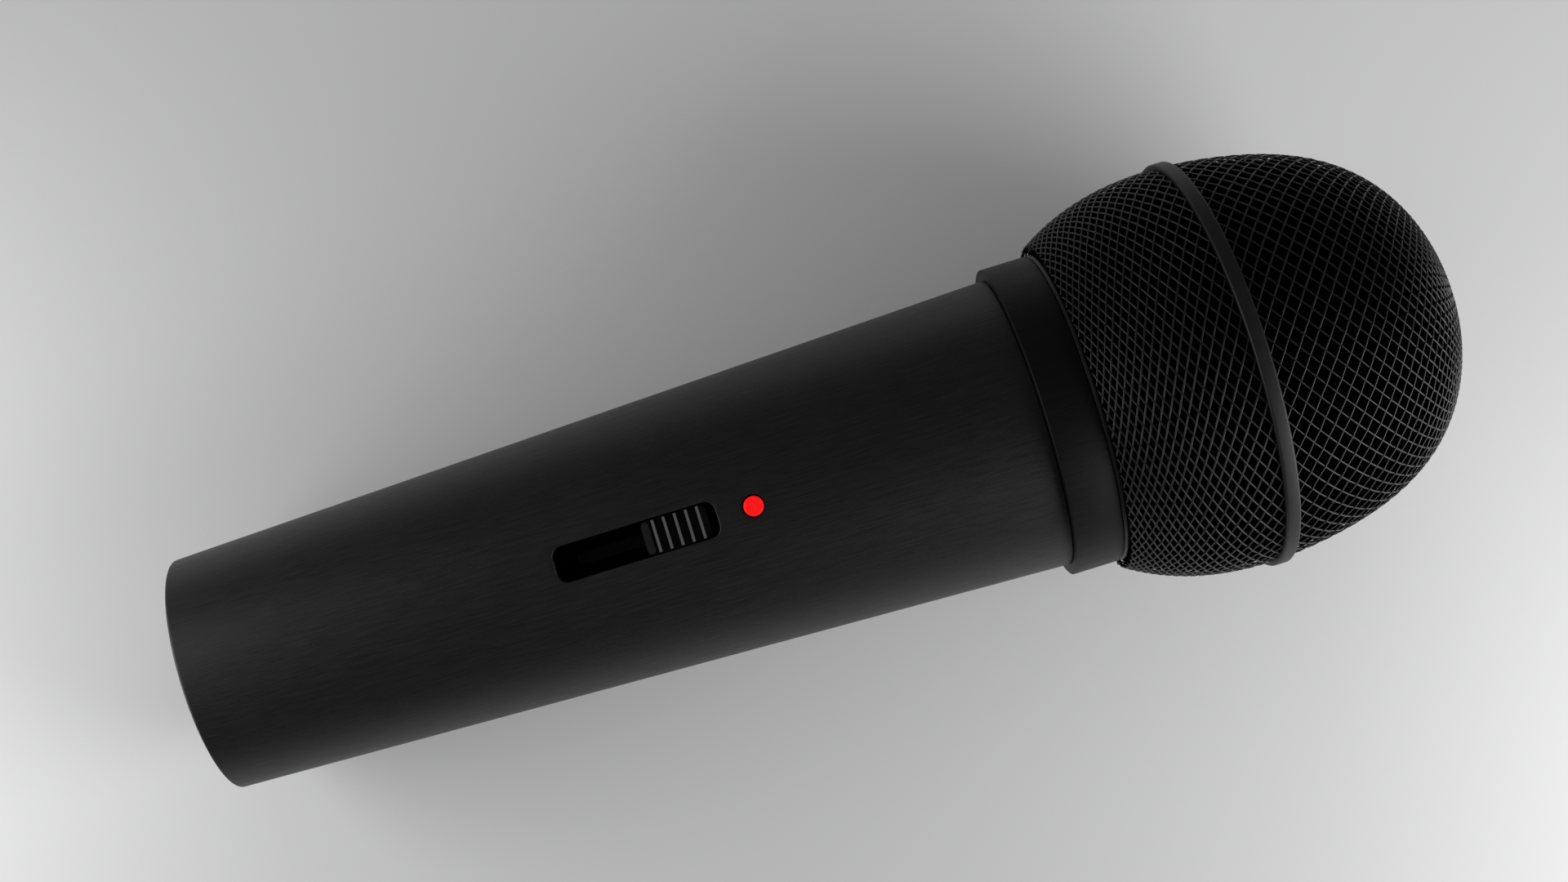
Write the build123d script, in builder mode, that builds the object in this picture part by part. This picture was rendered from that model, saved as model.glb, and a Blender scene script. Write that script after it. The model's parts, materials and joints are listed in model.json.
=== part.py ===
"""Handheld dynamic microphone with an on/off slide switch and an indicator light.

Millimetres, +Z up. The microphone lies on the plane Z = 0 with its switch on top: the rim of its
tail and the band round its grille touch the plane, so its axis rises towards the grille. +X points
from the tail to the grille. The origin is below the middle of the whole microphone, on the plane.

Inside the model a place is given by its station along the axis from the tail's face, its sideways
distance (+Y) and its height above the axis.
"""

from build123d import *
from math import atan2, cos, degrees, pi, radians, sin, sqrt, tan
import os

os.makedirs("parts", exist_ok=True)

# ---------------------------------------------------------------- driving dimensions
EDGE_R = 0.3  # rounding of the tail's rim and of the grille band

TAIL_R = 15.1  # handle, tail rim
SHOULDER_R = 19.05  # handle, at its front shoulder
HANDLE_LENGTH = 109.1  # tail face to front shoulder
HANDLE_WALL = 2.4
NECK_R = 16.6  # threaded neck, over its crests
NECK_LENGTH = 6.5
NECK_BORE_R = 14.6

COLLAR_R = 20.45  # ring at the foot of the grille
COLLAR_LENGTH = 6.2
RUNNING_GAP = 0.05  # radial clearance between turning or sliding pieces

GRILLE_CENTRE = 141.64  # station that the egg outline is drawn about
GRILLE_WAVES = (28.49, -6.247, 2.546, -0.674, -0.314)  # reach = sum of wave n times cos(n angle)
MESH_T = 0.8
BAND_R = 26.96
BAND_START = 133.8
BAND_WIDTH = 1.85
FOAM_GAP = 0.9  # mesh outside to foam outside
FOAM_T = 5.0

SLOT_START = 47.5
SLOT_LENGTH = 20.55
SLOT_WIDTH = 4.5
SLOT_CORNER_R = 1.3
SWITCH_TRAVEL = 10.0
LIGHT_STATION = 72.6
LIGHT_R = 1.23
LIGHT_HOLE_R = 1.45

CONNECTOR_BORE_R = 8.05  # three-pole socket that the cable's plug enters
CONNECTOR_DEPTH = 13.5
CONTACT_R = 1.2
CONTACT_SEAT_R = 1.5  # the part of a contact that sits in the insulator
CONTACT_SPOTS = ((-3.81, 2.03), (3.81, 2.03), (0.0, -4.32))  # sideways, height

BOARD_TOP = 9.8  # height of the circuit board's upper face
BOARD_T = 1.6
WIRE_R = 0.5


# ---------------------------------------------------------------- the grille's outline
def grille_point(angle, inset=0.0):
    """Station and radius of the egg outline, at an angle from the grille's tip."""
    reach = sum(wave * cos(n * angle) for n, wave in enumerate(GRILLE_WAVES)) - inset
    return GRILLE_CENTRE + reach * cos(angle), reach * sin(angle)


def grille_angle(station, inset=0.0):
    """Angle at which the outline passes a station, by halving."""
    low, high = 0.0, pi
    for _ in range(50):
        middle = (low + high) / 2
        if grille_point(middle, inset)[0] > station:
            low = middle
        else:
            high = middle
    return low


def grille_curve(first, last, inset=0.0, count=12):
    """Points along the outline between two angles."""
    step = (last - first) / (count - 1)
    return [grille_point(first + step * n, inset) for n in range(count)]


# ---------------------------------------------------------------- how the microphone lies
tilt = atan2(BAND_R - TAIL_R, BAND_START)
AXIS_DIR = Vector(cos(tilt), 0, sin(tilt))
UP_DIR = Vector(-sin(tilt), 0, cos(tilt))
SIDE_DIR = Vector(0, 1, 0)

tail_height = EDGE_R + (TAIL_R - EDGE_R) * cos(tilt) - EDGE_R * sin(tilt)
tail_end = -TAIL_R * sin(tilt)
tip_end = max(s * cos(tilt) + r * sin(tilt) for s, r in grille_curve(0, pi / 4, count=200))
TAIL = Vector(-(tail_end + tip_end) / 2, 0, tail_height)
MIC_AXIS = Axis(TAIL, AXIS_DIR)
UPWARDS = Axis(TAIL, UP_DIR)
SIDE = Plane(origin=TAIL, x_dir=AXIS_DIR, z_dir=-SIDE_DIR)  # local x = station, y = height


def place(station, sideways=0.0, height=0.0):
    """Point in the microphone's frame, as a position."""
    return TAIL + AXIS_DIR * station + SIDE_DIR * sideways + UP_DIR * height


def above(height, station=0.0, sideways=0.0):
    """Plane seen from above: local x along the axis, local y sideways."""
    return Plane(origin=place(station, sideways, height), x_dir=AXIS_DIR, z_dir=UP_DIR)


def across(station, sideways=0.0, height=0.0):
    """Plane square to the axis: local x sideways, local y up, facing the grille."""
    return Plane(origin=place(station, sideways, height), x_dir=SIDE_DIR, z_dir=AXIS_DIR)


def outline(*points):
    """Flat closed outline of (station, height) corners on the side plane."""
    with BuildSketch(SIDE) as flat:
        with BuildLine():
            Polyline(*points, close=True)
        make_face()
    return flat.sketch


def skin_outline(outer, inner):
    """Flat outline between two smooth curves that run the same way."""
    with BuildSketch(SIDE) as flat:
        with BuildLine():
            Spline(*outer)
            Line(outer[-1], inner[-1])
            Spline(*inner)
            Line(inner[0], outer[0])
        make_face()
    return flat.sketch


def handle_radius(station):
    """Outside radius of the handle's taper."""
    return TAIL_R + (SHOULDER_R - TAIL_R) * station / HANDLE_LENGTH


# ---------------------------------------------------------------- handle
TAIL_BORE_R = 12.5
TAIL_BORE_LENGTH = 25.0
CAVITY_FRONT = 101.5
NECK_BORE_START = 104.0
NECK_END = HANDLE_LENGTH + NECK_LENGTH
BOSS_STATIONS = (42.0, 80.0)
BOSS_R = 2.4
BOSS_BITE = 1.0  # a boss's top stops this far below the handle's outside
SCREW_R = 1.0
SCREW_HOLE_DEPTH = 3.6
CLAMP_SCREW_STATION = 19.0
CLAMP_SCREW_R = 1.25
HOLE_GAP = 0.05
ABOVE_HANDLE = 25.0
cavity_tail_r = handle_radius(TAIL_BORE_LENGTH + 1) - HANDLE_WALL
cavity_front_r = handle_radius(CAVITY_FRONT) - HANDLE_WALL

with BuildPart() as handle:
    revolve(
        outline(
            (0, TAIL_BORE_R + 0.4),
            (0, TAIL_R - EDGE_R),
            (EDGE_R, TAIL_R),
            (HANDLE_LENGTH, SHOULDER_R),
            (HANDLE_LENGTH, NECK_R),
            (NECK_END - 0.5, NECK_R),
            (NECK_END, NECK_R - 0.5),
            (NECK_END, NECK_BORE_R),
            (NECK_BORE_START, NECK_BORE_R),
            (CAVITY_FRONT, cavity_front_r),
            (TAIL_BORE_LENGTH + 1, cavity_tail_r),
            (TAIL_BORE_LENGTH, TAIL_BORE_R),
            (0.4, TAIL_BORE_R),
        ),
        axis=MIC_AXIS,
    )
    with BuildSketch(above(BOARD_TOP)):
        with Locations(*[(station, 0) for station in BOSS_STATIONS]):
            Circle(BOSS_R)
    extrude(amount=handle_radius(BOSS_STATIONS[0]) - BOSS_BITE - BOARD_TOP)
    with BuildSketch(above(BOARD_TOP)):
        with Locations(*[(station, 0) for station in BOSS_STATIONS]):
            Circle(SCREW_R + HOLE_GAP)
    extrude(amount=SCREW_HOLE_DEPTH, mode=Mode.SUBTRACT)
    with BuildSketch(above(BOARD_TOP)):
        with Locations((SLOT_START + SLOT_LENGTH / 2, 0)):
            RectangleRounded(SLOT_LENGTH, SLOT_WIDTH, SLOT_CORNER_R)
        with Locations((LIGHT_STATION, 0)):
            Circle(LIGHT_HOLE_R)
    extrude(amount=ABOVE_HANDLE - BOARD_TOP, mode=Mode.SUBTRACT)
    with BuildSketch(above(-ABOVE_HANDLE)):
        with Locations((CLAMP_SCREW_STATION, 0)):
            Circle(CLAMP_SCREW_R + HOLE_GAP)
    extrude(amount=ABOVE_HANDLE - TAIL_BORE_R + 1.0, mode=Mode.SUBTRACT)
handle.part.label = "handle"
export_step(handle.part, "parts/handle.step")

# ---------------------------------------------------------------- cable connector in the tail
SHELL_START = 0.8
INSULATOR_FACE = SHELL_START + CONNECTOR_DEPTH
INSULATOR_END = INSULATOR_FACE + 5.7
SHELL_END = 24.0
SHELL_STEP = INSULATOR_FACE + 0.7
SHELL_REAR_BORE_R = 10.4
LATCH_WIDTH = 4.6
LATCH_START = 5.5
LATCH_LENGTH = 4.0
LATCH_DEPTH = 1.5

with BuildPart() as connector_shell:
    revolve(
        outline(
            (SHELL_START, CONNECTOR_BORE_R + 0.5),
            (SHELL_START, TAIL_BORE_R - HOLE_GAP - 0.4),
            (SHELL_START + 0.4, TAIL_BORE_R - HOLE_GAP),
            (SHELL_END, TAIL_BORE_R - HOLE_GAP),
            (SHELL_END, SHELL_REAR_BORE_R),
            (SHELL_STEP, SHELL_REAR_BORE_R),
            (SHELL_STEP, CONNECTOR_BORE_R),
            (SHELL_START + 0.5, CONNECTOR_BORE_R),
        ),
        axis=MIC_AXIS,
    )
    with BuildSketch(above(CONNECTOR_BORE_R - 1.0)):
        with Locations((LATCH_START + LATCH_LENGTH / 2, 0)):
            Rectangle(LATCH_LENGTH, LATCH_WIDTH)
    extrude(amount=1.0 + LATCH_DEPTH, mode=Mode.SUBTRACT)
    with BuildSketch(above(-TAIL_BORE_R - 1.0)):
        with Locations((CLAMP_SCREW_STATION, 0)):
            Circle(CLAMP_SCREW_R + HOLE_GAP)
    extrude(amount=TAIL_BORE_R - SHELL_REAR_BORE_R + 2.0, mode=Mode.SUBTRACT)
connector_shell.part.label = "connector_shell"
export_step(connector_shell.part, "parts/connector_shell.step")

with BuildPart() as connector_insulator:
    revolve(
        outline(
            (INSULATOR_FACE, 0),
            (INSULATOR_FACE, CONNECTOR_BORE_R - HOLE_GAP),
            (SHELL_STEP + HOLE_GAP, CONNECTOR_BORE_R - HOLE_GAP),
            (SHELL_STEP + HOLE_GAP, SHELL_REAR_BORE_R - HOLE_GAP),
            (INSULATOR_END, SHELL_REAR_BORE_R - HOLE_GAP),
            (INSULATOR_END, 0),
        ),
        axis=MIC_AXIS,
    )
    with BuildSketch(across(INSULATOR_FACE)):
        with Locations(*CONTACT_SPOTS):
            Circle(CONTACT_SEAT_R + HOLE_GAP / 2)
    extrude(amount=INSULATOR_END - INSULATOR_FACE, mode=Mode.SUBTRACT)
    with BuildSketch(above(-TAIL_BORE_R)):
        with Locations((CLAMP_SCREW_STATION, 0)):
            Circle(CLAMP_SCREW_R + HOLE_GAP)
    extrude(amount=TAIL_BORE_R - SHELL_REAR_BORE_R + 1.4, mode=Mode.SUBTRACT)
connector_insulator.part.label = "connector_insulator"
export_step(connector_insulator.part, "parts/connector_insulator.step")

CONTACT_TIP = 3.2
CONTACT_END = 24.2
CONTACT_TIP_ROUNDING = 0.7
CUP_R = 0.75
CUP_DEPTH = 2.6
for number, (sideways, height) in enumerate(CONTACT_SPOTS, start=1):
    with BuildPart() as contact_pin:
        with BuildSketch(across(CONTACT_TIP, sideways, height)):
            Circle(CONTACT_R)
        extrude(amount=CONTACT_END - CONTACT_TIP)
        fillet(contact_pin.edges().sort_by(MIC_AXIS)[0], radius=CONTACT_TIP_ROUNDING)
        with BuildSketch(across(INSULATOR_FACE, sideways, height)):
            Circle(CONTACT_SEAT_R)
        extrude(amount=INSULATOR_END - INSULATOR_FACE)
        with BuildSketch(across(CONTACT_END, sideways, height)):
            Circle(CUP_R)
        extrude(amount=-CUP_DEPTH, mode=Mode.SUBTRACT)
    contact_pin.part.label = f"contact_pin_{number}"
    export_step(contact_pin.part, f"parts/contact_pin_{number}.step")

TAG_T = 0.4
TAG_WIDTH = 3.0
TAG_LENGTH = 7.0
TAG_SHIFT = 2.2  # from the contact to the middle of the tag
TAG_TAB_RISE = 3.6
tag_side, tag_height = CONTACT_SPOTS[0]
with BuildPart() as ground_tag:
    with BuildSketch(across(INSULATOR_END + HOLE_GAP)):
        with Locations((tag_side - TAG_SHIFT, tag_height)):
            Rectangle(TAG_LENGTH, TAG_WIDTH)
        with Locations((tag_side, tag_height)):
            Circle(CONTACT_R + HOLE_GAP, mode=Mode.SUBTRACT)
    extrude(amount=TAG_T)
    with BuildSketch(across(INSULATOR_END + HOLE_GAP)):
        with Locations((tag_side - TAG_SHIFT - (TAG_LENGTH - TAG_T) / 2, tag_height)):
            Rectangle(TAG_T, TAG_WIDTH)
    extrude(amount=TAG_TAB_RISE)
ground_tag.part.label = "ground_tag"
export_step(ground_tag.part, "parts/ground_tag.step")

CLAMP_SCREW_TOP = -11.2
CLAMP_SCREW_LENGTH = 4.0
HEX_R = 0.72
HEX_DEPTH = 1.6
with BuildPart() as clamp_screw:
    with BuildSketch(above(CLAMP_SCREW_TOP - CLAMP_SCREW_LENGTH, CLAMP_SCREW_STATION)):
        Circle(CLAMP_SCREW_R)
    extrude(amount=CLAMP_SCREW_LENGTH)
    chamfer(clamp_screw.edges().sort_by(UPWARDS)[-1], length=0.4)
    with BuildSketch(above(CLAMP_SCREW_TOP - CLAMP_SCREW_LENGTH, CLAMP_SCREW_STATION)):
        RegularPolygon(HEX_R, 6)
    extrude(amount=HEX_DEPTH, mode=Mode.SUBTRACT)
clamp_screw.part.label = "clamp_screw"
export_step(clamp_screw.part, "parts/clamp_screw.step")

# ---------------------------------------------------------------- circuit board
BOARD_START = 37.0
BOARD_END = 86.0
BOARD_WIDTH = 13.0
SOLDER_HOLE_R = 0.4
TERMINAL_STATIONS = (50.5, 58.0, 65.5)
TERMINAL_SIDE = 1.7
LIGHT_LEG_SIDE = 1.27
board_bottom = BOARD_TOP - BOARD_T
terminal_spots = [(s, side) for s in TERMINAL_STATIONS for side in (-TERMINAL_SIDE, TERMINAL_SIDE)]
light_leg_spots = [(LIGHT_STATION, -LIGHT_LEG_SIDE), (LIGHT_STATION, LIGHT_LEG_SIDE)]

with BuildPart() as circuit_board:
    with BuildSketch(above(board_bottom)):
        with Locations(((BOARD_START + BOARD_END) / 2, 0)):
            RectangleRounded(BOARD_END - BOARD_START, BOARD_WIDTH, 1.0)
        with Locations(*[(station, 0) for station in BOSS_STATIONS]):
            Circle(SCREW_R + 0.15, mode=Mode.SUBTRACT)
        with Locations(*terminal_spots, *light_leg_spots):
            Circle(SOLDER_HOLE_R, mode=Mode.SUBTRACT)
    extrude(amount=BOARD_T)
circuit_board.part.label = "circuit_board"
export_step(circuit_board.part, "parts/circuit_board.step")

SCREW_HEAD_R = 1.9
SCREW_HEAD_T = 1.3
SCREW_GRIP = 3.2
RECESS_LENGTH = 2.2
RECESS_WIDTH = 0.45
RECESS_DEPTH = 0.7
with BuildPart() as board_screws:
    for station in BOSS_STATIONS:
        with BuildSketch(above(board_bottom, station)):
            Circle(SCREW_HEAD_R)
        extrude(amount=-SCREW_HEAD_T)
        with BuildSketch(above(board_bottom, station)):
            Circle(SCREW_R)
        extrude(amount=BOARD_T + SCREW_GRIP)
        with BuildSketch(above(board_bottom - SCREW_HEAD_T, station)):
            Rectangle(RECESS_LENGTH, RECESS_WIDTH)
            Rectangle(RECESS_WIDTH, RECESS_LENGTH)
        extrude(amount=RECESS_DEPTH, mode=Mode.SUBTRACT)
board_screws.part.label = "board_screws"
export_step(board_screws.part, "parts/board_screws.step")

RESISTOR_STATION = 72.0
RESISTOR_SIDE = 4.2
RESISTOR_R = 0.95
RESISTOR_LENGTH = 5.0
resistor_height = board_bottom - RESISTOR_R - 0.1
with BuildPart() as feed_resistors:
    for side in (-RESISTOR_SIDE, RESISTOR_SIDE):
        with BuildSketch(across(RESISTOR_STATION - RESISTOR_LENGTH / 2, side, resistor_height)):
            Circle(RESISTOR_R)
        extrude(amount=RESISTOR_LENGTH)
feed_resistors.part.label = "feed_resistors"
export_step(feed_resistors.part, "parts/feed_resistors.step")

# ---------------------------------------------------------------- indicator light
LED_R = 1.5
LED_FLANGE_R = 1.9
LED_SHOULDER = 12.4
LED_TOP = LED_SHOULDER + LED_R
LED_LEG_R = 0.25
LED_FLANGE_T = 0.8
LEG_END = board_bottom - 0.8
with BuildPart() as led:
    with BuildSketch(above(BOARD_TOP + 0.1, LIGHT_STATION)):
        Circle(LED_FLANGE_R)
    extrude(amount=LED_FLANGE_T)
    with BuildSketch(above(BOARD_TOP + 0.1, LIGHT_STATION)):
        Circle(LED_R)
    extrude(amount=LED_TOP - BOARD_TOP - 0.1)
    fillet(led.edges().sort_by(UPWARDS)[-1], radius=LED_R - 0.1)
    with BuildSketch(above(LEG_END)):
        with Locations(*light_leg_spots):
            Circle(LED_LEG_R)
    extrude(amount=BOARD_TOP + LED_FLANGE_T / 2 - LEG_END)
led.part.label = "led"
export_step(led.part, "parts/led.step")

HOLDER_BOTTOM = 14.1
HOLDER_FLANGE_T = 0.7
HOLDER_FLANGE_R = 2.2
LENS_GAP = 0.02
LENS_RISE = 0.25  # the lens stands proud of the handle by this, its holder stops as far below
light_surface = handle_radius(LIGHT_STATION)
with BuildPart() as light_holder:
    with BuildSketch(above(HOLDER_BOTTOM, LIGHT_STATION)):
        Circle(HOLDER_FLANGE_R)
        Circle(LIGHT_R + LENS_GAP, mode=Mode.SUBTRACT)
    extrude(amount=HOLDER_FLANGE_T)
    with BuildSketch(above(HOLDER_BOTTOM, LIGHT_STATION)):
        Circle(LIGHT_HOLE_R - 0.03)
        Circle(LIGHT_R + LENS_GAP, mode=Mode.SUBTRACT)
    extrude(amount=light_surface - LENS_RISE - HOLDER_BOTTOM)
light_holder.part.label = "light_holder"
export_step(light_holder.part, "parts/light_holder.step")

with BuildPart() as light_lens:
    with BuildSketch(above(HOLDER_BOTTOM, LIGHT_STATION)):
        Circle(LIGHT_R)
    extrude(amount=light_surface + LENS_RISE - HOLDER_BOTTOM)
    fillet(light_lens.edges().sort_by(UPWARDS)[-1], radius=0.3)
light_lens.part.label = "light_lens"
export_step(light_lens.part, "parts/light_lens.step")

# ---------------------------------------------------------------- slide switch, fixed pieces
CASE_START = 47.0
CASE_END = 69.0
CASE_HALF = 3.4
CASE_BOTTOM = BOARD_TOP + 0.05
CASE_TOP = 12.8
CASE_T = 0.35
BASE_T = 0.5
STEM_MIDDLE = 62.9  # station of the slider's stem when switched on
STEM_LENGTH = 3.0
STEM_SLOT_START = STEM_MIDDLE - STEM_LENGTH / 2 - SWITCH_TRAVEL - 1.1
STEM_SLOT_END = STEM_MIDDLE + STEM_LENGTH / 2 + 1.6
STEM_SLOT_HALF = 0.75
case_middle = (CASE_START + CASE_END) / 2
case_length = CASE_END - CASE_START
stem_slot_middle = (STEM_SLOT_START + STEM_SLOT_END) / 2
stem_slot_length = STEM_SLOT_END - STEM_SLOT_START

with BuildPart() as switch_case:
    with BuildSketch(above(CASE_BOTTOM)):
        with Locations((case_middle, 0)):
            Rectangle(case_length, 2 * CASE_HALF)
    extrude(amount=CASE_TOP - CASE_BOTTOM)
    with BuildSketch(above(CASE_BOTTOM)):
        with Locations((case_middle, 0)):
            Rectangle(case_length - 2 * CASE_T, 2 * (CASE_HALF - CASE_T))
    extrude(amount=CASE_TOP - CASE_BOTTOM - CASE_T, mode=Mode.SUBTRACT)
    with BuildSketch(above(CASE_TOP - CASE_T)):
        with Locations((stem_slot_middle, 0)):
            Rectangle(stem_slot_length, 2 * STEM_SLOT_HALF)
    extrude(amount=CASE_T, mode=Mode.SUBTRACT)
switch_case.part.label = "switch_case"
export_step(switch_case.part, "parts/switch_case.step")

with BuildPart() as switch_base:
    with BuildSketch(above(CASE_BOTTOM)):
        with Locations((case_middle, 0)):
            Rectangle(case_length - 2 * CASE_T - 0.1, 2 * (CASE_HALF - CASE_T) - 0.1)
        with Locations(*terminal_spots):
            Circle(SOLDER_HOLE_R, mode=Mode.SUBTRACT)
    extrude(amount=BASE_T)
switch_base.part.label = "switch_base"
export_step(switch_base.part, "parts/switch_base.step")

PAD_T = 0.2
PAD_LENGTH = 2.0
PAD_WIDTH = 1.3
TERMINAL_R = 0.33
pad_bottom = CASE_BOTTOM + BASE_T
with BuildPart() as switch_terminals:
    with BuildSketch(above(pad_bottom)):
        with Locations(*terminal_spots):
            Rectangle(PAD_LENGTH, PAD_WIDTH)
    extrude(amount=PAD_T)
    with BuildSketch(above(pad_bottom)):
        with Locations(*terminal_spots):
            Circle(TERMINAL_R)
    extrude(amount=LEG_END - pad_bottom)
switch_terminals.part.label = "switch_terminals"
export_step(switch_terminals.part, "parts/switch_terminals.step")

PLATE_TOP = 13.55
PLATE_T = 0.5
PLATE_LENGTH = 25.5
PLATE_WIDTH = 8.0
PLATE_CORNER_R = 1.0
with BuildPart() as slot_plate:
    with BuildSketch(above(PLATE_TOP - PLATE_T)):
        with Locations((SLOT_START + SLOT_LENGTH / 2, 0)):
            RectangleRounded(PLATE_LENGTH, PLATE_WIDTH, PLATE_CORNER_R)
        with Locations((stem_slot_middle, 0)):
            Rectangle(stem_slot_length, 2 * STEM_SLOT_HALF, mode=Mode.SUBTRACT)
    extrude(amount=PLATE_T)
slot_plate.part.label = "slot_plate"
export_step(slot_plate.part, "parts/slot_plate.step")

# ---------------------------------------------------------------- slide switch, moving pieces
CAP_START = 58.75
CAP_END = 66.9
CAP_HALF = 2.1
CAP_BOTTOM = 14.0
CAP_DECK = 16.35
CAP_CORNER_R = 0.8
CAP_LIP = 0.95
CAP_LIP_CORNER_R = 0.4
CAP_LIP_TOP = 17.05
RIB_TOP = 17.35
RIB_PITCH = 1.4
RIB_STATIONS = [CAP_START + 1.6 + RIB_PITCH * n for n in range(5)]
RIB_BITE = 0.2  # ribs and lip start this far below the deck
RIB_FOOT = 0.7
RIB_CREST = 0.3
STEM_HALF = 0.55
STEM_GAP = 0.02
STEM_TOP = 15.6
cap_middle = (CAP_START + CAP_END) / 2

with BuildPart() as slider_cap:
    with BuildSketch(above(CAP_BOTTOM)):
        with Locations((cap_middle, 0)):
            RectangleRounded(CAP_END - CAP_START, 2 * CAP_HALF, CAP_CORNER_R)
    extrude(amount=CAP_DECK - CAP_BOTTOM)
    with BuildSketch(SIDE):
        for station in RIB_STATIONS:
            with BuildLine():
                Polyline(
                    (station - RIB_FOOT / 2, CAP_DECK - RIB_BITE),
                    (station + RIB_FOOT / 2, CAP_DECK - RIB_BITE),
                    (station + RIB_CREST / 2, RIB_TOP),
                    (station - RIB_CREST / 2, RIB_TOP),
                    close=True,
                )
            make_face()
    extrude(amount=CAP_HALF - 0.1, both=True)
    with BuildSketch(above(CAP_DECK - RIB_BITE)):
        with Locations((CAP_START + CAP_LIP / 2 + 0.1, 0)):
            RectangleRounded(CAP_LIP, 2 * CAP_HALF - 0.3, CAP_LIP_CORNER_R)
    extrude(amount=CAP_LIP_TOP - CAP_DECK + RIB_BITE)
    with BuildSketch(above(CAP_BOTTOM)):
        with Locations((STEM_MIDDLE, 0)):
            Rectangle(STEM_LENGTH + 2 * STEM_GAP, 2 * (STEM_HALF + STEM_GAP))
    extrude(amount=STEM_TOP - CAP_BOTTOM + STEM_GAP, mode=Mode.SUBTRACT)
slider_cap.part.label = "slider_cap"
export_step(slider_cap.part, "parts/slider_cap.step")

BLOCK_BOTTOM = 11.0
BLOCK_TOP = 12.35
BLOCK_LENGTH = 8.0
BLOCK_HALF = 2.8
with BuildPart() as switch_actuator:
    with BuildSketch(above(BLOCK_BOTTOM)):
        with Locations((STEM_MIDDLE, 0)):
            Rectangle(BLOCK_LENGTH, 2 * BLOCK_HALF)
    extrude(amount=BLOCK_TOP - BLOCK_BOTTOM)
    with BuildSketch(above(BLOCK_TOP)):
        with Locations((STEM_MIDDLE, 0)):
            Rectangle(STEM_LENGTH, 2 * STEM_HALF)
    extrude(amount=STEM_TOP - BLOCK_TOP)
switch_actuator.part.label = "switch_actuator"
export_step(switch_actuator.part, "parts/switch_actuator.step")

WIPER_BOTTOM = pad_bottom + PAD_T + 0.02
WIPER_T = 0.2
WIPER_LENGTH = 7.0
WIPER_WIDTH = 4.4
FINGER_LENGTH = 0.8
FINGER_WIDTH = 1.0
finger_end = (WIPER_LENGTH - FINGER_LENGTH) / 2 - 0.2
finger_side = (WIPER_WIDTH - FINGER_WIDTH) / 2
finger_spots = [
    (STEM_MIDDLE + end, side)
    for end in (-finger_end, finger_end)
    for side in (-finger_side, finger_side)
]
with BuildPart() as switch_wiper:
    with BuildSketch(above(BLOCK_BOTTOM)):
        with Locations((STEM_MIDDLE, 0)):
            Rectangle(WIPER_LENGTH, WIPER_WIDTH)
    extrude(amount=-WIPER_T)
    with BuildSketch(above(WIPER_BOTTOM)):
        with Locations(*finger_spots):
            Rectangle(FINGER_LENGTH, FINGER_WIDTH)
    extrude(amount=BLOCK_BOTTOM - WIPER_T - WIPER_BOTTOM)
switch_wiper.part.label = "switch_wiper"
export_step(switch_wiper.part, "parts/switch_wiper.step")

# ---------------------------------------------------------------- capsule
MOUNT_LIP_T = 1.2
CAPSULE_STEM_R = 11.1
CAPSULE_R = 13.6
CAPSULE_STEP = NECK_END + MOUNT_LIP_T + 0.4
CAPSULE_FRONT = CAPSULE_STEP + 17.6
MOTOR_START = CAPSULE_STEP + 1.6
YOKE_R = 10.3
YOKE_FLOOR_T = 1.5
YOKE_LENGTH = 8.6
GAP_OUTER_R = 9.2
POLE_R = 8.0
POLE_T = 2.0
MAGNET_R = 7.4
MAGNET_T = 5.0
SHELF = MOTOR_START + 9.4  # seat of the diaphragm's rim
RIM_T = 1.1
STEM_WALL = 1.2

with BuildPart() as shock_mount:
    revolve(
        outline(
            (NECK_BORE_START + 0.4, CAPSULE_STEM_R + 0.05),
            (NECK_BORE_START + 0.4, NECK_BORE_R - 0.1),
            (NECK_END + 0.05, NECK_BORE_R - 0.1),
            (NECK_END + 0.05, NECK_R - 1.0),
            (NECK_END + MOUNT_LIP_T, NECK_R - 1.0),
            (NECK_END + MOUNT_LIP_T, CAPSULE_STEM_R + 0.05),
            (NECK_END - 2.0, CAPSULE_STEM_R + 0.05),
            (NECK_END - 3.0, CAPSULE_STEM_R + 1.4),
            (NECK_END - 7.0, CAPSULE_STEM_R + 1.4),
            (NECK_END - 8.0, CAPSULE_STEM_R + 0.05),
        ),
        axis=MIC_AXIS,
    )
shock_mount.part.label = "shock_mount"
export_step(shock_mount.part, "parts/shock_mount.step")

with BuildPart() as capsule_housing:
    revolve(
        outline(
            (NECK_BORE_START, CAPSULE_STEM_R),
            (CAPSULE_STEP, CAPSULE_STEM_R),
            (CAPSULE_STEP, CAPSULE_R),
            (CAPSULE_FRONT, CAPSULE_R),
            (CAPSULE_FRONT, CAPSULE_R - RIM_T),
            (SHELF, CAPSULE_R - RIM_T),
            (SHELF, YOKE_R + 0.05),
            (MOTOR_START - 0.05, YOKE_R + 0.05),
            (MOTOR_START - 0.05, CAPSULE_STEM_R - 3.0),
            (CAPSULE_STEP, CAPSULE_STEM_R - STEM_WALL),
            (NECK_BORE_START, CAPSULE_STEM_R - STEM_WALL),
        ),
        axis=MIC_AXIS,
    )
capsule_housing.part.label = "capsule_housing"
export_step(capsule_housing.part, "parts/capsule_housing.step")

with BuildPart() as magnet_yoke:
    revolve(
        outline(
            (MOTOR_START, 0),
            (MOTOR_START, YOKE_R),
            (MOTOR_START + YOKE_LENGTH, YOKE_R),
            (MOTOR_START + YOKE_LENGTH, GAP_OUTER_R),
            (MOTOR_START + YOKE_FLOOR_T, GAP_OUTER_R),
            (MOTOR_START + YOKE_FLOOR_T, 0),
        ),
        axis=MIC_AXIS,
    )
magnet_yoke.part.label = "magnet_yoke"
export_step(magnet_yoke.part, "parts/magnet_yoke.step")

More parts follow.
